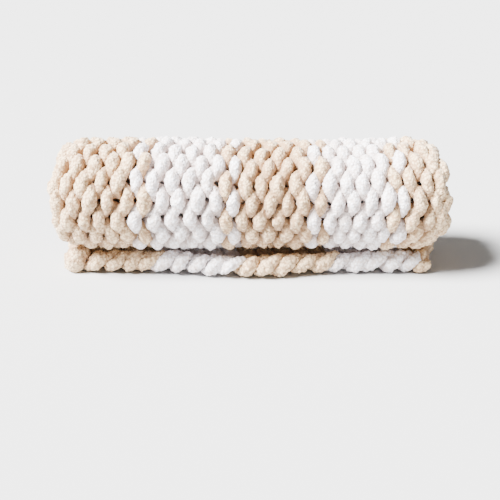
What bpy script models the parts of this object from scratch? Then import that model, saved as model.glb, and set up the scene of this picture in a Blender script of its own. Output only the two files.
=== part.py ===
"""Chunky knit blanket, rolled up and resting on its loose end.

Units are metres, +Z is up. The roll lies along X, its loose end comes out in front, at -Y, and the
origin is on the floor under the middle of the blanket's box. The cloth is one solid: a thick sheet
wound into a roll, with a narrow gap from layer to layer. Its stitches lie on their side, so the rows
of knitting go round the roll, and the purl side of the cloth faces out. There each stitch shows two
lobes of yarn, one to the right and one to the left, and those lobes are raised on the outer turn.

The cloth is lofted along its length. A station is one cut across it: a closed ring of points that
runs over the purl side, round one side edge, back over the knit side and round the other edge.
"""

import bisect
import math
import random

import bmesh
import bpy
from mathutils import Vector

# The cloth
THICKNESS = 0.034
LAYER_GAP = 0.002
STITCHES = 16

# The stripes from left to right: colour, courses of knitting and width. The first and the last
# course are narrower than the others.
STRIPES = (
    ("cream", 5, 0.128),
    ("white", 5, 0.142),
    ("cream", 5, 0.136),
    ("white", 5, 0.124),
    ("cream", 3, 0.070),
)
EDGE_COURSE_SHARE = 0.65
SIDE_MARGIN = 0.0105

# The roll
HEIGHT = 0.210
LOOSE_END = 0.042
LOOSE_END_BOW = 0.022
BOW_SPREAD = 0.110
CORE_RADIUS = 0.020
SAG_POWER = 2.3
FLAT_UNDER = 0.0035
UNEVEN = 0.0018
END_DIP = 0.014
END_DIP_FROM = 0.252
END_DIP_OVER = 0.048

# The lobes of the stitches, raised over this stretch of the roll's turns
RAISED_TURNS = (0.16, 0.985)
GROOVE_DEPTH = 0.0065
JOINT_DEPTH = 0.0045
SHOULDER_SHARE = 0.25
ZIGZAG = 0.0046
LEAN = 0.0030
LOBE_START = 0.25
JITTER = 0.0008
STEPS_PER_STITCH = 7
HIDDEN_STEPS_PER_STITCH = 4

# The rounded side edges, as shares of the thickness, and the loose end's front edge with its
# leaning lobes, as rows of reach forward and share of the thickness
SIDE_SHARES = (-0.02, -0.34)
SIDE_SCALLOP = 0.004
EDGE_ROWS = ((0.0075, 0.16), (0.0035, 0.36))
EDGE_LEAN = 0.011
EDGE_GROOVE = 0.006
EDGE_LIFT = 0.002
EDGE_CORNER = 0.004
CORNER_SHARES = (0.05, -0.9)

COLOURS = {"cream": (0.76, 0.66, 0.53), "white": (0.86, 0.86, 0.88)}
ROUGHNESS = 0.95

LAYER = THICKNESS + LAYER_GAP
START_RADIUS = (HEIGHT - THICKNESS + LAYER / 2) / 2
AXIS_HEIGHT = START_RADIUS + THICKNESS / 2
TURNS = (START_RADIUS - CORE_RADIUS) / LAYER
LINE_STEPS = round(TURNS * 360)


def wound_point(turn):
    """The middle of the cloth after a number of turns, from below the axis to the back and up.

    The lower half of the roll spreads under its own weight: there the circle becomes a squarer one.
    """
    angle = 2 * math.pi * turn - math.pi / 2
    across, up = math.cos(angle), math.sin(angle)
    power = SAG_POWER if up < 0 else 2.0
    spread = (abs(across) ** power + abs(up) ** power) ** (-1 / power)
    radius = (START_RADIUS - LAYER * turn) * spread
    return Vector((0, radius * across, AXIS_HEIGHT + radius * up))


SPOTS = [Vector((0, -LOOSE_END, THICKNESS / 2))]
SPOTS += [wound_point(TURNS * i / LINE_STEPS) for i in range(LINE_STEPS + 1)]
REACHES = [0.0]
for before, after in zip(SPOTS, SPOTS[1:]):
    REACHES.append(REACHES[-1] + (after - before).length)
STITCH = REACHES[-1] / STITCHES


def along(distance):
    """The middle line's point at a distance from the loose end, and the way out of its purl side."""
    index = min(max(bisect.bisect_left(REACHES, distance), 1), LINE_STEPS + 1)
    share = (distance - REACHES[index - 1]) / (REACHES[index] - REACHES[index - 1])
    point = SPOTS[index - 1].lerp(SPOTS[index], share)
    low, high = max(index - 3, 0), min(index + 2, LINE_STEPS + 1)
    way = (SPOTS[high] - SPOTS[low]).normalized()
    return point, Vector((0, way.z, -way.y))


def turns_at(distance):
    """How many turns of the roll lie before a distance along the cloth."""
    return TURNS * max(bisect.bisect_left(REACHES, distance) - 1, 0) / LINE_STEPS


def level_places():
    """The levels of lobes: x, the colour of the course that ends there and of the one that starts."""
    width = sum(across for _, _, across in STRIPES)
    places = [-width / 2]
    courses = []
    for stripe, (colour, count, across) in enumerate(STRIPES):
        shares = [1.0] * count
        if stripe == 0:
            shares[0] = EDGE_COURSE_SHARE
        if stripe == len(STRIPES) - 1:
            shares[-1] = EDGE_COURSE_SHARE
        for share in shares:
            places.append(places[-1] + across * share / sum(shares))
        courses += [colour] * count
    ends = [courses[0]] + courses
    starts = courses + [courses[-1]]
    return [{"x": x, "ends": a, "starts": b} for x, a, b in zip(places, ends, starts)]


LEVELS = level_places()
HALF_WIDTH = LEVELS[-1]["x"] + SIDE_MARGIN


def cloth_columns():
    """The columns of points across the cloth: a groove between levels, and two shoulders on each."""
    columns = []
    for i, level in enumerate(LEVELS):
        x = level["x"]
        left = x - LEVELS[i - 1]["x"] if i else 2 * SIDE_MARGIN
        right = LEVELS[i + 1]["x"] - x if i + 1 < len(LEVELS) else 2 * SIDE_MARGIN
        if i:
            columns.append({"x": x - left / 2, "groove": True})
        columns.append({"x": x - SHOULDER_SHARE * left, "groove": False})
        columns.append({"x": x + SHOULDER_SHARE * right, "groove": False})
    return columns


COLUMNS = cloth_columns()
PURL_X = [column["x"] for column in COLUMNS]
RING_X = PURL_X + [HALF_WIDTH] * 2 + PURL_X[::-1] + [-HALF_WIDTH] * 2
EDGE_STATION = {"distance": 0.0, "raised": False, "inside": False}


def cloth_stations():
    """Distances of the stations along the cloth, and where lobes are raised or layers cover it."""
    stations = []
    distance = 0.0
    while turns_at(distance) < 1.0:
        raised = RAISED_TURNS[0] < turns_at(distance) < RAISED_TURNS[1]
        stations.append({"distance": distance, "raised": raised, "inside": False})
        distance += STITCH / STEPS_PER_STITCH
    hidden_step = STITCH / HIDDEN_STEPS_PER_STITCH
    first = math.ceil(distance / hidden_step)
    for i in range(first, STITCHES * HIDDEN_STEPS_PER_STITCH + 1):
        stations.append({"distance": i * hidden_step, "raised": False, "inside": True})
    return stations


def swell(x, distance):
    """The slow unevenness of a hand-rolled blanket, in metres out of the cloth."""
    return UNEVEN * (math.sin(11 * x + 1.0) * math.cos(9 * distance) - 0.4 * math.sin(23 * x))


def end_dip(x):
    """How far the purl side sinks at x: knitted edges curl in, so it falls towards both sides."""
    return END_DIP * max((abs(x) - END_DIP_FROM) / END_DIP_OVER, 0.0) ** 2


def lobe_phase(distance):
    """The angle of the lobes' pattern: right lobes lie at a quarter turn, left ones at three."""
    return 2 * math.pi * (distance / STITCH + LOBE_START)


def lobe_point(column, distance, shake):
    """(x, height over the middle) of a point of the raised purl side.

    Down each level the lobes step to the right and to the left in turn, each one leans, and the
    cloth dips where one ends and the next begins.
    """
    phase = lobe_phase(distance)
    inner = 0.4 if abs(column["x"]) > HALF_WIDTH - 2 * SIDE_MARGIN else 1.0
    x = column["x"] + inner * (ZIGZAG * math.sin(phase) + LEAN * math.sin(2 * phase))
    height = THICKNESS / 2 + swell(column["x"], distance) - UNEVEN - end_dip(column["x"])
    if column["groove"]:
        height -= GROOVE_DEPTH
    else:
        height -= JOINT_DEPTH * (1 + math.cos(2 * phase)) / 2
    return x + shake.uniform(-JITTER, JITTER), height + shake.uniform(-JITTER, 0)


def place(x, distance, height, forward=0.0):
    """A point of the cloth in space: its underside flat on the floor, its loose end bowed forward."""
    point, out = along(distance)
    spot = point + out * height
    spot.x = x
    spot.y -= forward
    if distance < LOOSE_END:
        bow = LOOSE_END_BOW * math.exp(-((x / BOW_SPREAD) ** 2))
        spot.y -= bow * (1 - distance / LOOSE_END)
    if spot.z < FLAT_UNDER and height > 0:
        spot.z = 0.0
    return spot


def ring(station, shake):
    """The ring of points round the cloth at one station."""
    distance = station["distance"]
    purl = []
    for column in COLUMNS:
        x, height = column["x"], THICKNESS / 2 - end_dip(column["x"])
        if station["raised"]:
            x, height = lobe_point(column, distance, shake)
        purl.append(place(x, distance, height))
    knit = [place(column["x"], distance, -THICKNESS / 2) for column in COLUMNS]
    sides = []
    for side in (1, -1):
        dip = SIDE_SCALLOP * (1 - side * math.sin(lobe_phase(distance))) / 2
        x = side * (HALF_WIDTH - dip)
        sides.append([place(x, distance, share * THICKNESS) for share in SIDE_SHARES])
    return purl + sides[0] + knit[::-1] + sides[1][::-1]


def edge_ring(reach, share):
    """A ring in front of the loose end that rounds its edge and shapes the leaning lobes there."""
    rows = []
    for side in (1, -1):
        row = []
        for column in COLUMNS:
            x = column["x"] - side * EDGE_LEAN * share
            back = EDGE_GROOVE if column["groove"] else 0.0
            spot = place(x, 0.0, side * share * THICKNESS, reach - back)
            spot.z = THICKNESS * (0.5 - side * share)
            if side > 0:
                spot.z = max(spot.z, end_dip(column["x"]) + EDGE_LIFT * (1 - share))
            row.append(spot)
        rows.append(row)
    x, y = HALF_WIDTH - EDGE_CORNER, rows[0][-1].y + EDGE_CORNER
    heights = [THICKNESS * (0.5 - share * k) for k in CORNER_SHARES]
    right = [Vector((x, y, z)) for z in heights]
    left = [Vector((-x, y, z)) for z in reversed(heights)]
    return rows[0] + right + rows[1][::-1] + left


def colour_at(index, station):
    """The colour of the face after a point of a ring: where stripes meet, their lobes interlock."""
    purl = index < len(COLUMNS)
    seen = not station["inside"] if purl else station["distance"] < LOOSE_END
    if not seen:
        return LEVELS[0]["starts"]
    x = (RING_X[index] + RING_X[(index + 1) % len(RING_X)]) / 2
    level = min(LEVELS, key=lambda item: abs(item["x"] - x))
    leftward = station["raised"] and math.sin(lobe_phase(station["distance"])) < -0.1
    return level["starts"] if leftward else level["ends"]


def loft(mesh, rings, stations):
    """The rings as vertices, joined by coloured quads from each one to the next."""
    names = sorted(COLOURS)
    made = [[mesh.verts.new(point) for point in points] for points in rings]
    count = len(made[0])
    for before, after, station in zip(made, made[1:], stations):
        for i in range(count):
            j = (i + 1) % count
            face = mesh.faces.new((before[i], before[j], after[j], after[i]))
            face.material_index = names.index(colour_at(i, station))
    return made


def close_front(mesh, loop):
    """Closes the front edge with a strip of faces from its lower row to its upper row."""
    names = sorted(COLOURS)
    wide, side = len(COLUMNS), len(SIDE_SHARES)
    lower, right = loop[:wide], loop[wide : wide + side]
    upper = loop[wide + side : 2 * wide + side][::-1]
    left = loop[2 * wide + side :]
    for i in range(wide - 1):
        face = mesh.faces.new((lower[i + 1], lower[i], upper[i], upper[i + 1]))
        face.material_index = names.index(colour_at(i, EDGE_STATION))
    mesh.faces.new((lower[-1], upper[-1], *right[::-1]))
    mesh.faces.new((upper[0], lower[0], *left[::-1]))


def merge_plain(mesh, shaped):
    """Merges the flat faces of one colour along X wherever no lobes are raised."""
    plain = {face for face in mesh.faces if not shaped.intersection(face.verts)}
    edges = {edge for face in plain for edge in face.edges if plain.issuperset(edge.link_faces)}
    verts = {vert for face in plain for vert in face.verts}
    bmesh.ops.dissolve_limit(
        mesh,
        angle_limit=math.radians(0.4),
        verts=list(verts),
        edges=list(edges),
        delimit={"MATERIAL"},
    )


def yarn_material(name):
    """Matt, fluffy chenille in one colour."""
    material = bpy.data.materials.new(f"{name}_chenille")
    material.use_nodes = True
    shader = material.node_tree.nodes["Principled BSDF"]
    shader.inputs["Base Color"].default_value = (*COLOURS[name], 1)
    shader.inputs["Roughness"].default_value = ROUGHNESS
    shader.inputs["Metallic"].default_value = 0.0
    return material


def centre_on_origin(mesh):
    """Moves the blanket so that the middle of its box is over the origin."""
    xs = [vert.co.x for vert in mesh.verts]
    ys = [vert.co.y for vert in mesh.verts]
    shift = Vector((-(min(xs) + max(xs)) / 2, -(min(ys) + max(ys)) / 2, 0))
    bmesh.ops.translate(mesh, verts=mesh.verts, vec=shift)


def blanket():
    """The whole rolled cloth, coloured and centred."""
    shake = random.Random(11)
    mesh = bmesh.new()
    edge = [edge_ring(reach, share) for reach, share in EDGE_ROWS]
    stations = cloth_stations()
    rings = edge + [ring(station, shake) for station in stations]
    loops = loft(mesh, rings, [EDGE_STATION] * len(edge) + stations)
    close_front(mesh, loops[0])
    mesh.faces.new(loops[-1])
    bmesh.ops.recalc_face_normals(mesh, faces=mesh.faces)
    shaped = {vert for loop in loops[: len(edge)] for vert in loop}
    for loop, station in zip(loops[len(edge) :], stations):
        if station["raised"]:
            shaped.update(loop[: len(COLUMNS)])
    merge_plain(mesh, shaped)
    centre_on_origin(mesh)
    data = bpy.data.meshes.new("blanket")
    mesh.to_mesh(data)
    mesh.free()
    for name in sorted(COLOURS):
        data.materials.append(yarn_material(name))
    data.shade_smooth()
    return bpy.data.objects.new("blanket", data)


def main():
    for old in list(bpy.data.objects):
        bpy.data.objects.remove(old)
    parts = bpy.data.collections.new("chunky_knit_blanket")
    bpy.context.scene.collection.children.link(parts)
    parts.objects.link(blanket())


main()
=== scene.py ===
# %% [markdown]
# A chunky knit blanket, rolled up and lying on its loose end. It is hand-knitted from chenille yarn
# as thick as a thumb, in broad cream and white stripes. The imported model already holds the blanket
# as one solid, a thick sheet wound into a roll. Here that solid gets its looks: the real blanket is
# nothing but looped yarn, so this scene knits it, loop by loop, round the same roll.
#
# First the frame is loaded.

# %% Load the frame
import math

import bpy
import numpy as np
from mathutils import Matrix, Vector


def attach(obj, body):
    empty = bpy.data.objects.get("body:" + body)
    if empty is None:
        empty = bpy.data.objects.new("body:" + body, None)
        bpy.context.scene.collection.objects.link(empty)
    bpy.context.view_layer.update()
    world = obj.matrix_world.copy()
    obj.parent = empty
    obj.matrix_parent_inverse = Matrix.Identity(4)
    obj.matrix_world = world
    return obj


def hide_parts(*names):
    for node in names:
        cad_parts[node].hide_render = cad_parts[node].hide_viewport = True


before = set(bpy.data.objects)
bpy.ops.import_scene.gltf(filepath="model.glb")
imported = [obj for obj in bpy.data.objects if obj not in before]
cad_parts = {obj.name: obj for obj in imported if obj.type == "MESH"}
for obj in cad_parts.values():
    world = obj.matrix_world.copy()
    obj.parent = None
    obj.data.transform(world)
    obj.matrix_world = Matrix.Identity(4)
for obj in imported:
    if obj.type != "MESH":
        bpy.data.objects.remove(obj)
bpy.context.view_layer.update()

# %% [markdown]
# The driving sizes are the same ones that shape the solid, in metres. The cloth is two strands of
# yarn thick. The stripes run from left to right, and each is a few courses of knitting: a course is
# one row of stitches, and here it runs round the roll.

# %% Sizes
THICKNESS = 0.034
LAYER_GAP = 0.002
STITCHES = 16
STRIPES = (
    ("cream", 5, 0.128),
    ("white", 5, 0.142),
    ("cream", 5, 0.136),
    ("white", 5, 0.124),
    ("cream", 3, 0.070),
)
EDGE_COURSE_SHARE = 0.65
HEIGHT = 0.210
LOOSE_END = 0.042
LOOSE_END_BOW = 0.022
BOW_SPREAD = 0.110
CORE_RADIUS = 0.020
SAG_POWER = 2.3
UNEVEN = 0.0018

LAYER = THICKNESS + LAYER_GAP
START_RADIUS = (HEIGHT - THICKNESS + LAYER / 2) / 2
AXIS_HEIGHT = START_RADIUS + THICKNESS / 2
AXIS_Y = -LAYER / 4
TURNS = (START_RADIUS - CORE_RADIUS) / LAYER
WIDTH = sum(across for _, _, across in STRIPES)
print(f"{TURNS:.2f} turns of cloth {WIDTH:.2f} m wide")

# %% [markdown]
# The middle of the cloth's thickness follows one long line: flat under the roll from the loose end,
# then up the back, over the top and down the front, and on into the core. A spiral whose radius
# shrinks by one layer for each turn gives that line. The lower half of each turn spreads a little
# under the blanket's weight, so there the circle is squarer.
#
# Knitting is easiest to describe on a flat cloth, as u across it, s along it and n out of it. A
# function further down lays such flat points onto the roll: it finds the line at s, steps out by n,
# and keeps u as X.

# %% Wind the cloth's middle line
FLAT_POINTS = 59
WOUND_POINTS = 1500


def wound_line():
    """Points down the middle of the cloth as (y, z), and each one's distance from the loose end."""
    turn = np.linspace(0, TURNS, WOUND_POINTS)
    angle = 2 * np.pi * turn - np.pi / 2  # straight down at first
    across, up = np.cos(angle), np.sin(angle)
    power = np.where(up < 0, SAG_POWER, 2.0)
    spread = (np.abs(across) ** power + np.abs(up) ** power) ** (-1 / power)
    radius = (START_RADIUS - LAYER * turn) * spread
    points = np.stack([radius * across, AXIS_HEIGHT + radius * up], 1)
    flat = np.linspace([-LOOSE_END, THICKNESS / 2], points[0], FLAT_POINTS + 1)[:-1]
    points = np.concatenate([flat, points])
    steps = np.linalg.norm(np.diff(points, axis=0), axis=1)
    reach = np.concatenate([[0], np.cumsum(steps)])
    return points, reach


LINE, REACH = wound_line()
WAY = np.gradient(LINE, REACH, axis=0)
WAY /= np.linalg.norm(WAY, axis=1)[:, None]
STITCH = REACH[-1] / STITCHES
ROLL_REACH = REACH[FLAT_POINTS:]
ROLL_TURNS = np.linspace(0, TURNS, len(ROLL_REACH))


def turn_at(s):
    """Turns of the roll at a distance along the cloth."""
    return np.interp(s, ROLL_REACH, ROLL_TURNS)


def reach_at(turn):
    """Distance along the cloth at a number of turns."""
    return float(np.interp(turn, ROLL_TURNS, ROLL_REACH))


print(f"flat cloth {REACH[-1]:.3f} m long, a stitch every {STITCH * 1000:.1f} mm")

# %% [markdown]
# A blanket rolled by hand is never an even drum. The roll is drawn in at its two ends, high and low,
# where the cloth was pulled tight. The rows wander, the loose end lies a little to one side of the
# roll and bows forward in the middle, and both side edges curl in, as knitted edges do. Each of
# these is a small shift of the flat point before or while it is laid on the line, so one function
# moves every strand of yarn alike and no two strands come apart.

# %% Settle the cloth
END_DIP = 0.014
END_DIP_FROM = 0.252
END_DIP_OVER = 0.048
PINCH = 0.045
PINCHED_LEAST_AT = 0.70
STRETCH = 0.006
STRETCH_LENGTH = 0.4
FRONT = reach_at(0.71)
HELD_BY = 0.12
LOOSE_FROM = 0.015
LOOSE_OVER = 0.070

# Where the stripes' borders lie on the roll, from left to right, and on the loose end's front edge.
LEVELS_AT_ROLL = (-0.300, -0.172, -0.030, 0.106, 0.230, 0.300)
LEVELS_AT_BORDER = (-0.280, -0.151, -0.020, 0.132, 0.272, 0.284)


def bow(x):
    """How far the loose end's front edge is pushed forward at x, most in the middle."""
    return LOOSE_END_BOW * np.exp(-((x / BOW_SPREAD) ** 2))


def swell(x, s):
    """The slow unevenness of a hand-rolled blanket, in metres out of the cloth."""
    return UNEVEN * (np.sin(11 * x + 1.0) * np.cos(9 * s) - 0.4 * np.sin(23 * x))


def settle(u, s):
    """Shifts flat points as the real cloth has settled: pinched, stretched and skewed a little."""
    turn = turn_at(s)
    loose = np.clip(1 - (s - LOOSE_FROM) / LOOSE_OVER, 0, 1)
    held = np.clip(s / HELD_BY, 0, 1)
    skew = np.interp(u, LEVELS_AT_ROLL, LEVELS_AT_BORDER) - u
    ends = (np.abs(u) / (WIDTH / 2)) ** 1.5
    across = -PINCH * u * ends * np.sin(2 * np.pi * (turn - PINCHED_LEAST_AT)) ** 2
    across = across + 0.0022 * np.sin(26 * s + 7 * u) + 0.0014 * np.sin(61 * s - 33 * u + 2)
    along = STRETCH * np.abs(u) / (WIDTH / 2) * np.sin(2 * np.pi * (s - FRONT) / STRETCH_LENGTH)
    along = along + 0.0030 * np.sin(15 * u + 0.6) + 0.0022 * np.sin(43 * u + 19 * s)
    return u + across * held + skew * loose**2, s + along * held


def end_dip(u):
    """How far the cloth sinks towards its two side edges, which curl in as knitted edges do."""
    return END_DIP * np.clip((np.abs(u) - END_DIP_FROM) / END_DIP_OVER, 0, 1.3) ** 2


def lay_on_roll(u, s, n):
    """World positions of points given across, along and out of the flat cloth."""
    u, s = settle(u, s)
    n = n + swell(u, s) - UNEVEN / 2 - end_dip(u)
    y, z = (np.interp(s, REACH, LINE[:, i]) for i in (0, 1))
    way_y, way_z = (np.interp(s, REACH, WAY[:, i]) for i in (0, 1))
    y = y + n * way_z - bow(u) * np.clip(1 - s / LOOSE_END, 0, 1)
    z = z - n * way_y
    return np.stack([u, y + AXIS_Y, z], 1)


top = lay_on_roll(np.zeros(1), np.array([reach_at(0.5)]), np.array([THICKNESS / 2]))[0]
print(f"the cloth's outer face is {top[2] * 1000:.0f} mm above the floor at the top of the roll")

# %% [markdown]
# One course of plain knitting is a single strand of yarn bent into loops. The classic way to draw
# it is three waves: the strand swings across the course once for each stitch, moves along it with a
# to and fro that makes each loop bulge, and goes in and out of the cloth twice. Both ends of each
# loop, the head and the sinker, come out on the purl side, and both legs lie behind.
#
# Chenille is soft and thick, so the strand is squeezed thin where loops cross and swells where it is
# free. That is why the lobes on the purl side are spindles. The legs lie close behind them and are
# thick enough to close the holes. Lobes lean a little, most at the right end of the roll, where the
# cloth was twisted as it was wound: one way above the middle of the front and the other way below.
# Hand knitting is also uneven, so each lobe gets its own small shift in place, height and thickness
# from a seeded random table.

# %% The courses
YARN_RADIUS = 0.0081
SWELL_SHARE = 0.30
LEG_SHARE = 0.22
LOOP_DEPTH = 0.0078
LOOP_OVERLAP = 0.0066
LOOP_BULGE = 1.56
LOOP_LEAN = 0.0010
END_LEAN = 0.0034
LEAN_TURNS_AT = 0.72
LEAN_TURNS_OVER = 0.06
LEAN_SHARES = {"left end": -0.35, "right end, high": -1.3, "right end, low": 1.8}
END_THINNER = 0.10
LEG_DEPTH_SHARE = 0.70
FIRST_STITCH = 0.5 * STITCH
UNEVEN_PLACE = 0.0019
UNEVEN_HEIGHT = 0.0011
UNEVEN_RADIUS = 0.10

courses = []
left_edge = -WIDTH / 2
for stripe, (colour, count, across) in enumerate(STRIPES):
    shares = [1.0] * count
    if stripe == 0:
        shares[0] = EDGE_COURSE_SHARE
    if stripe == len(STRIPES) - 1:
        shares[-1] = EDGE_COURSE_SHARE
    for share in shares:
        pitch = across * share / sum(shares)
        courses.append({"stripe": stripe, "middle": left_edge + pitch / 2, "pitch": pitch})
        left_edge += pitch
random_table = np.random.RandomState(5).uniform(-1, 1, (len(courses) + 2, STITCHES + 2, 2, 5))


def lobe_values(course, t, column):
    """A random value that holds for a whole lobe and fades to the next one, along a strand."""
    stitch = np.clip(np.round(t / (2 * np.pi)).astype(int) + 1, 0, STITCHES + 1)
    gap = np.clip(np.floor(t / (2 * np.pi)).astype(int) + 1, 0, STITCHES + 1)
    head = np.clip(np.cos(t), 0, 1) ** 0.7
    sinker = np.clip(-np.cos(t), 0, 1) ** 0.7
    return random_table[course, stitch, 0, column] * head + random_table[course, gap, 1, column] * sinker


def lean(end, s):
    """How far lobes lean to one side, for a course that is near an end, -1 left to 1 right."""
    share = LEAN_SHARES["left end"]
    if end > 0:
        turned = (turn_at(s) - LEAN_TURNS_AT) / LEAN_TURNS_OVER
        share = np.clip(turned, LEAN_SHARES["right end, high"], LEAN_SHARES["right end, low"])
    return LOOP_LEAN + END_LEAN * end * share


def course_strand(index, course, t):
    """The strand of one course at stitch angles t: its (u, s, n) and its radius."""
    reach = course["pitch"] / 2 + LOOP_OVERLAP
    s = STITCH / (2 * np.pi) * (t + np.pi + LOOP_BULGE * np.sin(2 * t)) + FIRST_STITCH
    end = (course["middle"] / (WIDTH / 2)) ** 3
    u = course["middle"] + reach * np.cos(t) - lean(end, s) * np.sin(2 * t)
    n = LOOP_DEPTH * np.cos(2 * t)
    n = np.where(n < 0, LEG_DEPTH_SHARE * n, n)
    u = u + UNEVEN_PLACE * lobe_values(index, t, 0)
    u = u - 1.2 * UNEVEN_PLACE * lobe_values(index, t, 1) * np.sin(2 * t)
    s = s + 1.4 * UNEVEN_PLACE * lobe_values(index, t, 2)
    n = n + UNEVEN_HEIGHT * lobe_values(index, t, 3)
    radius = YARN_RADIUS * (1 + SWELL_SHARE * np.cos(4 * t) + LEG_SHARE * (1 - np.cos(2 * t)) / 2)
    radius = radius * (1 + UNEVEN_RADIUS * lobe_values(index, t, 4) - END_THINNER * max(end, 0))
    return u, s, n, radius


print(len(courses), "courses")

# %% [markdown]
# A strand becomes a tube of yarn: a poly curve with a round bevel, its thickness set at each point,
# converted to a mesh. A Screw or an Array could not follow loops whose place and thickness change
# all the time, and a curve can. Close rings of points are only spent where the yarn shows, on the
# outer turn and near the two side edges. Strands inside the roll get fewer sides and longer steps.


# %% Spin strands into yarn
FINE_STEP = 0.0027
HIDDEN_STEP = 0.0075


def deselect_all():
    """Leaves nothing selected, so that the next operator acts only on what it is given."""
    bpy.ops.object.select_all(action="DESELECT")


def paced(u, s, n, radius, fine):
    """Points along a dense strand at a fine pace where fine is true and a coarse one elsewhere."""
    points = lay_on_roll(u, s, n)
    step = np.where(fine, FINE_STEP, HIDDEN_STEP)
    lengths = np.linalg.norm(np.diff(points, axis=0), axis=1)
    count = np.concatenate([[0], np.cumsum(lengths / ((step[1:] + step[:-1]) / 2))])
    picks = np.interp(np.arange(0, count[-1], 1.0), count, np.arange(len(count)))
    columns = [np.interp(picks, np.arange(len(count)), points[:, i]) for i in range(3)]
    return np.stack(columns, 1), np.interp(picks, np.arange(len(count)), radius)


def spin(name, strands, sides):
    """A mesh object of yarn tubes, one for each strand of points and radii."""
    curve = bpy.data.curves.new(name, "CURVE")
    curve.dimensions = "3D"
    curve.bevel_depth = 1.0
    curve.bevel_resolution = (sides - 4) // 2
    curve.use_fill_caps = True
    for points, radius in strands:
        spline = curve.splines.new("POLY")
        spline.points.add(len(points) - 1)
        spline.points.foreach_set("co", np.c_[points, np.ones(len(points))].ravel())
        spline.points.foreach_set("radius", radius)
    thing = bpy.data.objects.new(name, curve)
    bpy.context.scene.collection.objects.link(thing)
    deselect_all()
    thing.select_set(True)
    bpy.context.view_layer.objects.active = thing
    bpy.ops.object.convert(target="MESH")
    return bpy.context.view_layer.objects.active


TAPER = 5


def tapered(radius):
    """Closes a tube softly: its radius runs down to a point over its first and last few rings."""
    ramp = np.sqrt(np.clip((np.arange(len(radius)) + 0.3) / TAPER, 0, 1))
    return radius * ramp * ramp[::-1]


print("a tube's ends close over", TAPER, "rings")

# %% [markdown]
# Along the loose end's front edge, turns of yarn close each course. The strand winds forward over
# the edge and back under it, from one course to the next, which makes a rope-like border of lobes
# that lean to the right. At the left corner the first course curls up into a fat ball, and at the
# right one the border ends in a single small lobe.

# %% The border of the loose end
BORDER_TURN = 0.0088
BORDER_RADIUS = 0.0104
BORDER_BACK = 0.008
BORDER_HEIGHT = 0.0185
BORDER_WINDING = 0.026
BORDER_OPENING = 155
BORDER_POINTS = 60
CORNER_RADIUS = 0.0185
END_LOBE_RADIUS = 0.0110
END_POINTS = 24


def border_strand(index, course):
    """The lobe of border yarn that closes one course at the front edge of the loose end."""
    shift, rise, reach, size, tilt = random_table[index, 0, 0]
    phi = np.radians(np.linspace(-BORDER_OPENING, BORDER_OPENING, BORDER_POINTS))
    sides = np.array([course["middle"] - course["pitch"] / 2, course["middle"] + course["pitch"] / 2])
    middle = np.interp(sides, LEVELS_AT_ROLL, LEVELS_AT_BORDER).sum() / 2
    if course["stripe"] == len(STRIPES) - 1:
        return end_lobe(middle)
    turn = BORDER_TURN * (1 + 0.15 * reach)
    x = middle + 0.003 * shift + BORDER_WINDING * (1.15 + 0.35 * tilt) * phi / np.pi
    y = -LOOSE_END - bow(x) + BORDER_BACK + 0.0015 * size - turn * np.cos(phi)
    z = BORDER_HEIGHT + 0.0022 * rise + turn * np.sin(phi)
    radius = BORDER_RADIUS * (0.72 + 0.28 * np.cos(phi)) * (1 + 0.16 * size)
    return np.stack([x, y + AXIS_Y, z], 1), radius


def end_lobe(middle):
    """The small lobe that ends the border at its right end."""
    angle = np.linspace(0.12, np.pi - 0.12, END_POINTS)
    x = middle - 0.015 * np.cos(angle)
    y = np.full(END_POINTS, -LOOSE_END + 0.002)
    z = 0.0120 - 0.004 * np.cos(angle)
    return np.stack([x, y + AXIS_Y, z], 1), END_LOBE_RADIUS * np.sin(angle) ** 0.7


def corner_strand():
    """The fat end of the first course, which curls up at the loose end's left corner."""
    angle = np.linspace(0.12, np.pi - 0.12, END_POINTS)
    x = LEVELS_AT_BORDER[0] - 0.006 - 0.004 * np.cos(angle)
    y = np.full(END_POINTS, -LOOSE_END + 0.008)
    z = CORNER_RADIUS * (1.05 - 1.1 * np.cos(angle))
    return np.stack([x, y + AXIS_Y, z], 1), CORNER_RADIUS * np.sin(angle)


def border_strands(index, course):
    """The border yarn of one course: a corner ball, one lobe, or none past the end lobe."""
    if index == 0:
        return [corner_strand()]
    if course["stripe"] < len(STRIPES) - 1 or index == len(courses) - 2:
        return [border_strand(index, course)]
    return []


print(sum(len(border_strands(*pair)) for pair in enumerate(courses)), "lobes along the border")

# %% [markdown]
# Each stripe is knitted as one piece: the part of its courses on the outer turn, the part wound up
# inside, and its share of the border. The first and the last course also get a chain of yarn along
# the side edge, because a loop there has no neighbour to fill its gaps.

# %% Knit the stripes
FINE_SIDES = 20
HIDDEN_SIDES = 8
EDGE_COURSES = 2
SHOWS_ABOVE = -0.003
FIRST_TURN = reach_at(1.06)
STEPS_PER_STITCH = 72
STRAND_START = -1.72 * np.pi
STRAND_END = 2 * np.pi * (STITCHES - 1) - 0.1 * np.pi


def edge_strand(side, t):
    """The chain of yarn along a side edge, whose lobes fill the gaps between the first stitches."""
    u = side * (WIDTH / 2 - 0.001 + 0.0045 * np.cos(t)) - LOOP_LEAN * np.sin(2 * t)
    s = STITCH / (2 * np.pi) * (t + np.pi + LOOP_BULGE * np.sin(2 * t)) + FIRST_STITCH
    n = -side * LOOP_DEPTH * np.cos(t)
    radius = YARN_RADIUS * (1 + SWELL_SHARE * np.cos(2 * t))
    return u, s, n, radius


def side_by_side(index):
    """The strands of one course: its own, and at either side the chain along the edge."""
    angles = np.linspace(STRAND_START, STRAND_END, STITCHES * STEPS_PER_STITCH)
    strands = [course_strand(index, courses[index], angles)]
    if index == 0:
        strands.append(edge_strand(-1, angles))
    if index == len(courses) - 1:
        strands.append(edge_strand(1, angles))
    return strands


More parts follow.
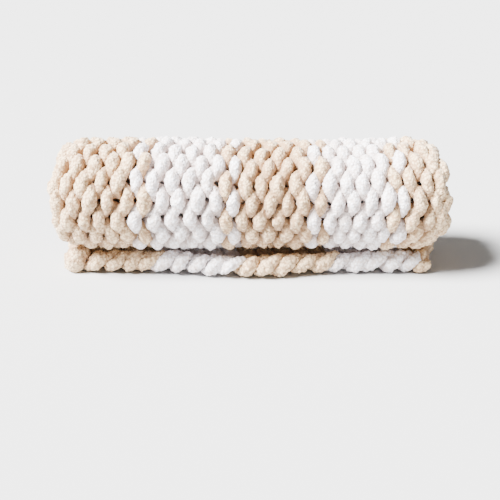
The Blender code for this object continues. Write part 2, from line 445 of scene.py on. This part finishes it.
def knit_stripe(number):
    """All the yarn of one stripe, joined into one mesh."""
    outer, inner, border = [], [], []
    for index, course in enumerate(courses):
        if course["stripe"] != number:
            continue
        near_side = index < EDGE_COURSES or index >= len(courses) - EDGE_COURSES
        for u, s, n, radius in side_by_side(index):
            hidden = (s >= FIRST_TURN) & (not near_side)
            cut = int(np.argmax(hidden)) if hidden.any() else len(s)
            shown = slice(0, cut)
            fine = n[shown] > SHOWS_ABOVE
            points, thick = paced(u[shown], s[shown], n[shown], radius[shown], fine)
            outer.append((points, tapered(thick)))
            if cut < len(s):
                wound = slice(cut, None)
                coarse = np.full(len(s) - cut, False)
                inner.append(paced(u[wound], s[wound], n[wound], radius[wound], coarse))
        border.extend(border_strands(index, course))
    pieces = [spin("outer", outer + border, FINE_SIDES)]
    if inner:
        pieces.append(spin("inner", inner, HIDDEN_SIDES))
    deselect_all()
    for piece in pieces:
        piece.select_set(True)
    bpy.context.view_layer.objects.active = pieces[0]
    if len(pieces) > 1:
        bpy.ops.object.join()
    stripe = bpy.context.view_layer.objects.active
    stripe.name = f"stripe_{number + 1}_{STRIPES[number][0]}"
    stripe.data.name = stripe.name
    return stripe


stripes = [knit_stripe(number) for number in range(len(STRIPES))]
for stripe in stripes:
    print(stripe.name, "has", 2 * len(stripe.data.polygons), "triangles, about")

# %% [markdown]
# Chenille is covered in short pile that clumps into crumbs a few millimetres wide. Hair would show
# every fibre, but a step away only the clumps are seen. So two displace modifiers give the tubes
# that surface: slow lumps first, then crumbs. Both read noise in the piece's own space.

# %% Raise the pile
LUMP_SIZE = 0.010
LUMP_HEIGHT = 0.0044
CRUMB_SIZE = 0.0046
CRUMB_HEIGHT = 0.0056


def displace(piece, name, size, height):
    """Pushes a piece's surface in and out by soft noise."""
    noise = bpy.data.textures.new(f"{piece.name}_{name}", "CLOUDS")
    noise.noise_scale = size
    noise.noise_depth = 1
    modifier = piece.modifiers.new(name, "DISPLACE")
    modifier.texture = noise
    modifier.texture_coords = "LOCAL"
    modifier.strength = height
    modifier.mid_level = 0.5
    deselect_all()
    piece.select_set(True)
    bpy.context.view_layer.objects.active = piece
    bpy.ops.object.modifier_apply(modifier=name)
    bpy.data.textures.remove(noise)


for stripe in stripes:
    displace(stripe, "lumps", LUMP_SIZE, LUMP_HEIGHT)
    displace(stripe, "crumbs", CRUMB_SIZE, CRUMB_HEIGHT)
    bpy.ops.object.shade_smooth()
print("raised the pile of", len(stripes), "stripes")

# %% [markdown]
# Between the lobes the yarn is painted darker and warmer: painted shade, because little light gets
# there. The material needs to know how far inside the cloth a point lies, so each vertex gets a
# number: 0 on either face of the cloth and 1 in the middle of its thickness. The border and the side
# edges lie open to the light, so the number is lowered there. Last, the underside is pressed flat on
# the floor.

# %% Measure the depth of every point, for painted shade
OPEN_BORDER_FROM = 0.004
OPEN_BORDER_OVER = 0.010
OPEN_SIDE_FROM = 0.288
OPEN_SIDE_OVER = 0.012
OPEN_SIDE_SHARE = 0.6


def read_points(piece):
    """The places of a mesh's vertices, one row each."""
    points = np.empty(3 * len(piece.data.vertices))
    piece.data.vertices.foreach_get("co", points)
    return points.reshape(-1, 3)


def cloth_height(points):
    """Metres from the middle line of the nearest layer to each point, out of the purl side."""
    y, z = points[:, 1] - AXIS_Y, points[:, 2] - AXIS_HEIGHT
    share = (np.degrees(np.arctan2(z, y)) + 90) % 360 / 360
    across, up = np.abs(y), np.abs(z)
    radius = np.hypot(y, z)
    power = np.where(z < 0, SAG_POWER, 2.0)
    spread = ((across / radius) ** power + (up / radius) ** power) ** (-1 / power)
    heights = [radius - (START_RADIUS - LAYER * (share + m)) * spread for m in range(3)]
    heights.append(np.where(y < 0, THICKNESS / 2 - points[:, 2], 1.0))
    heights = np.array(heights) + end_dip(points[:, 0])
    nearest = np.abs(heights).argmin(0)
    return heights[nearest, np.arange(len(points))]


# The depth number sets how much painted shade a point gets: most in the middle of the cloth's thickness,
# less where the border and side edges lie open to the light.
for stripe in stripes:
    points = read_points(stripe)
    shade_depth = np.clip(1 - np.abs(cloth_height(points)) / (THICKNESS / 2), 0, 1)
    front = -LOOSE_END + AXIS_Y + OPEN_BORDER_FROM - points[:, 1]
    low = points[:, 2] < THICKNESS + OPEN_BORDER_FROM
    shade_depth *= 1 - low * np.clip(front / OPEN_BORDER_OVER, 0, 1)
    aside = np.abs(points[:, 0]) - OPEN_SIDE_FROM
    shade_depth *= 1 - OPEN_SIDE_SHARE * np.clip(aside / OPEN_SIDE_OVER, 0, 1)
    print(stripe.name, "mean depth", round(float(shade_depth.mean()), 2))
    layer = stripe.data.attributes.new("shade_depth", "FLOAT", "POINT")
    layer.data.foreach_set("value", shade_depth)
    points[:, 2] = np.maximum(points[:, 2], 0)
    stripe.data.vertices.foreach_set("co", points.ravel())
    stripe.data.update()

# %% [markdown]
# Both yarns share one finish, chenille, in two colours. It is matt, with a soft sheen at grazing
# angles from the pile. A node group makes the colour and the fine height of the crumbs, so cream and
# white differ only in the colours that they give it. The group mixes a lit colour with a darker one.
# That darker colour is painted shade in the hollows, by the shade depth number, and in the creases
# between crumbs, which are the cells of a Voronoi texture. It is also the yarn's own uneven tone in
# small blots of noise where pile is pressed. The same cells, highest in their middles, and the same
# noise give the bump its height.

# %% The chenille finish
CRUMBS_PER_METRE = 230
PATCHES_PER_METRE = 130
PAINTED_HOLLOW_SHADE = 0.95
PAINTED_CREASE_SHADE = 0.9
BLOT_SHARE = 0.75
CRUMB_SHARE = 0.6


def chenille_group():
    """Node group: chenille's colour at a point, with painted shade, and its crumbs' height for a bump.
    """
    group = bpy.data.node_groups.new("chenille", "ShaderNodeTree")
    face = group.interface
    for name in ("Lit Colour", "Shade and Blot Colour"):
        face.new_socket(name, in_out="INPUT", socket_type="NodeSocketColor")
    face.new_socket("Crumbs per Metre", in_out="INPUT", socket_type="NodeSocketFloat")
    face.new_socket("Colour", in_out="OUTPUT", socket_type="NodeSocketColor")
    face.new_socket("Height", in_out="OUTPUT", socket_type="NodeSocketFloat")
    nodes, links = group.nodes, group.links
    given = nodes.new("NodeGroupInput")
    result = nodes.new("NodeGroupOutput")
    place = nodes.new("ShaderNodeTexCoord")
    shade_depth = nodes.new("ShaderNodeAttribute")
    shade_depth.attribute_name = "shade_depth"

    crumbs = nodes.new("ShaderNodeTexVoronoi")
    links.new(place.outputs["Object"], crumbs.inputs["Vector"])
    links.new(given.outputs["Crumbs per Metre"], crumbs.inputs["Scale"])

    patches = nodes.new("ShaderNodeTexNoise")
    patches.inputs["Scale"].default_value = PATCHES_PER_METRE
    patches.inputs["Detail"].default_value = 3.0
    patches.inputs["Roughness"].default_value = 0.7
    links.new(place.outputs["Object"], patches.inputs["Vector"])

    def ranged(value, low, high, most, kind="LINEAR"):
        """A value stretched so that low gives 0 and high gives the most."""
        node = nodes.new("ShaderNodeMapRange")
        node.interpolation_type = kind
        node.inputs["From Min"].default_value = low
        node.inputs["From Max"].default_value = high
        node.inputs["To Max"].default_value = most
        links.new(value, node.inputs["Value"])
        return node.outputs["Result"]

    def added(first, second):
        """The sum of two values."""
        node = nodes.new("ShaderNodeMath")
        node.operation = "ADD"
        links.new(first, node.inputs[0])
        links.new(second, node.inputs[1])
        return node.outputs["Value"]

    # Painted shade: the hollows and the creases between crumbs turn to the darker colour; the blots are
    # the yarn's own uneven tone.
    painted_hollow_shade = ranged(shade_depth.outputs["Fac"], 0.02, 0.66, PAINTED_HOLLOW_SHADE, "SMOOTHSTEP")
    painted_crease_shade = ranged(crumbs.outputs["Distance"], 0.35, 0.80, PAINTED_CREASE_SHADE)
    blots = ranged(patches.outputs["Fac"], 0.45, 0.70, BLOT_SHARE)

    mix = nodes.new("ShaderNodeMix")
    mix.data_type = "RGBA"
    links.new(added(painted_hollow_shade, added(painted_crease_shade, blots)), mix.inputs["Factor"])
    links.new(given.outputs["Lit Colour"], mix.inputs["A"])
    links.new(given.outputs["Shade and Blot Colour"], mix.inputs["B"])
    links.new(mix.outputs["Result"], result.inputs["Colour"])
    raised = ranged(crumbs.outputs["Distance"], 0.8, 0.0, CRUMB_SHARE)
    links.new(added(raised, patches.outputs["Fac"]), result.inputs["Height"])
    return group


CHENILLE = chenille_group()
print("the chenille group has", len(CHENILLE.nodes), "nodes")

# %% [markdown]
# Each yarn is a Principled material that takes its colour and its bump from the group. Roughness,
# sheen and the like are the same all over, so they are set on the shader itself. The base colours
# look strong here, because soft daylight washes them out to the pale yarn of the real blanket.

# %% The two yarns
BUMP_DEPTH = 0.0022
BUMP_STRENGTH = 0.95
# Each yarn's second colour is painted shade for its hollows and creases, and also the tone of its
# pressed blots.
YARN_COLOURS = {
    "cream": {"lit": (0.83, 0.63, 0.395), "shade_and_blots": (0.40, 0.25, 0.14)},
    "white": {"lit": (0.95, 0.93, 0.97), "shade_and_blots": (0.64, 0.55, 0.52)},
}


def yarn_material(name):
    """Chenille in one of the yarn colours."""
    material = bpy.data.materials.new(f"{name}_chenille")
    material.use_nodes = True
    nodes, links = material.node_tree.nodes, material.node_tree.links
    shader = nodes["Principled BSDF"]
    shader.inputs["Roughness"].default_value = 0.95
    shader.inputs["Specular IOR Level"].default_value = 0.15
    shader.inputs["Sheen Weight"].default_value = 0.25
    shader.inputs["Sheen Roughness"].default_value = 0.45
    yarn = nodes.new("ShaderNodeGroup")
    yarn.node_tree = CHENILLE
    yarn.inputs["Lit Colour"].default_value = (*YARN_COLOURS[name]["lit"], 1)
    yarn.inputs["Shade and Blot Colour"].default_value = (*YARN_COLOURS[name]["shade_and_blots"], 1)
    yarn.inputs["Crumbs per Metre"].default_value = CRUMBS_PER_METRE
    bump = nodes.new("ShaderNodeBump")
    bump.inputs["Distance"].default_value = BUMP_DEPTH
    bump.inputs["Strength"].default_value = BUMP_STRENGTH
    links.new(yarn.outputs["Colour"], shader.inputs["Base Color"])
    links.new(yarn.outputs["Height"], bump.inputs["Height"])
    links.new(bump.outputs["Normal"], shader.inputs["Normal"])
    return material


MATERIALS = {name: yarn_material(name) for name in YARN_COLOURS}
for stripe, (colour, _, _) in zip(stripes, STRIPES):
    stripe.data.materials.clear()
    stripe.data.materials.append(MATERIALS[colour])
print("finishes:", ", ".join(MATERIALS))

# %% [markdown]
# The stripes stand for the blanket's solid, which stays in the physics model. The blanket is one
# soft body with no joints, so every stripe rides on the root.

# %% Tie the yarn to the frame
for stripe, (colour, _, _) in zip(stripes, STRIPES):
    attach(stripe, "root")
    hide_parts("blanket")
print("the root carries", ", ".join(stripe.name for stripe in stripes))

# %% [markdown]
# The studio has a pale floor, faint even light all round, and one soft light from the upper left.
# That key light is a sun with a wide angle. It skims over the lobes, so each has a bright side and
# a shaded one with a soft edge between them, where an area light in front would flatten them.

# %% Floor and light
FLOOR_SIZE = 9.0
FLOOR_GREY = 0.48
SKY_STRENGTH = 0.40
KEY_STRENGTH = 38
KEY_ANGLE = 25
KEY_DIRECTION = Vector((0.66, 0.22, -0.74))

deselect_all()
bpy.ops.mesh.primitive_plane_add(size=FLOOR_SIZE, location=(0, 0, -0.0005))
floor = bpy.context.active_object
floor.name = "floor"
floor_material = bpy.data.materials.new("pale_floor")
floor_material.use_nodes = True
floor_shader = floor_material.node_tree.nodes["Principled BSDF"]
floor_shader.inputs["Base Color"].default_value = (FLOOR_GREY, FLOOR_GREY, FLOOR_GREY, 1)
floor_shader.inputs["Roughness"].default_value = 0.9
floor.data.materials.append(floor_material)

world = bpy.data.worlds.new("studio")
bpy.context.scene.world = world
world.use_nodes = True
world.node_tree.nodes["Background"].inputs["Color"].default_value = (1, 1, 1, 1)
world.node_tree.nodes["Background"].inputs["Strength"].default_value = SKY_STRENGTH

key_data = bpy.data.lights.new("key", "SUN")
key_data.energy = KEY_STRENGTH
key_data.angle = math.radians(KEY_ANGLE)
key = bpy.data.objects.new("key", key_data)
bpy.context.scene.collection.objects.link(key)
key.rotation_euler = KEY_DIRECTION.to_track_quat("-Z", "Y").to_euler()
print("the key light shines along", [round(value, 2) for value in KEY_DIRECTION])

# %% [markdown]
# The camera looks slightly down from in front, 1.5 m away, as the photographer stood. Its lens angle
# is worked out from the width that the square frame covers at that distance.

# %% Camera
CAMERA_DISTANCE = 1.5
CAMERA_ELEVATION = 20
FRAME_WIDTH = 0.815
ROLL_MIDDLE = 0.115
AIM = Vector((-0.001, 0.0, 0.018))

camera_data = bpy.data.cameras.new("camera")
camera = bpy.data.objects.new("camera", camera_data)
bpy.context.scene.collection.objects.link(camera)
centre = Vector((0, AXIS_Y, ROLL_MIDDLE))
elevation = math.radians(CAMERA_ELEVATION)
camera.location = centre + CAMERA_DISTANCE * Vector((0, -math.cos(elevation), math.sin(elevation)))
camera.rotation_euler = (AIM - camera.location).to_track_quat("-Z", "Y").to_euler()
camera_data.angle = 2 * math.atan(FRAME_WIDTH / 2 / CAMERA_DISTANCE)
bpy.context.scene.camera = camera
print("camera at", [round(value, 3) for value in camera.location])
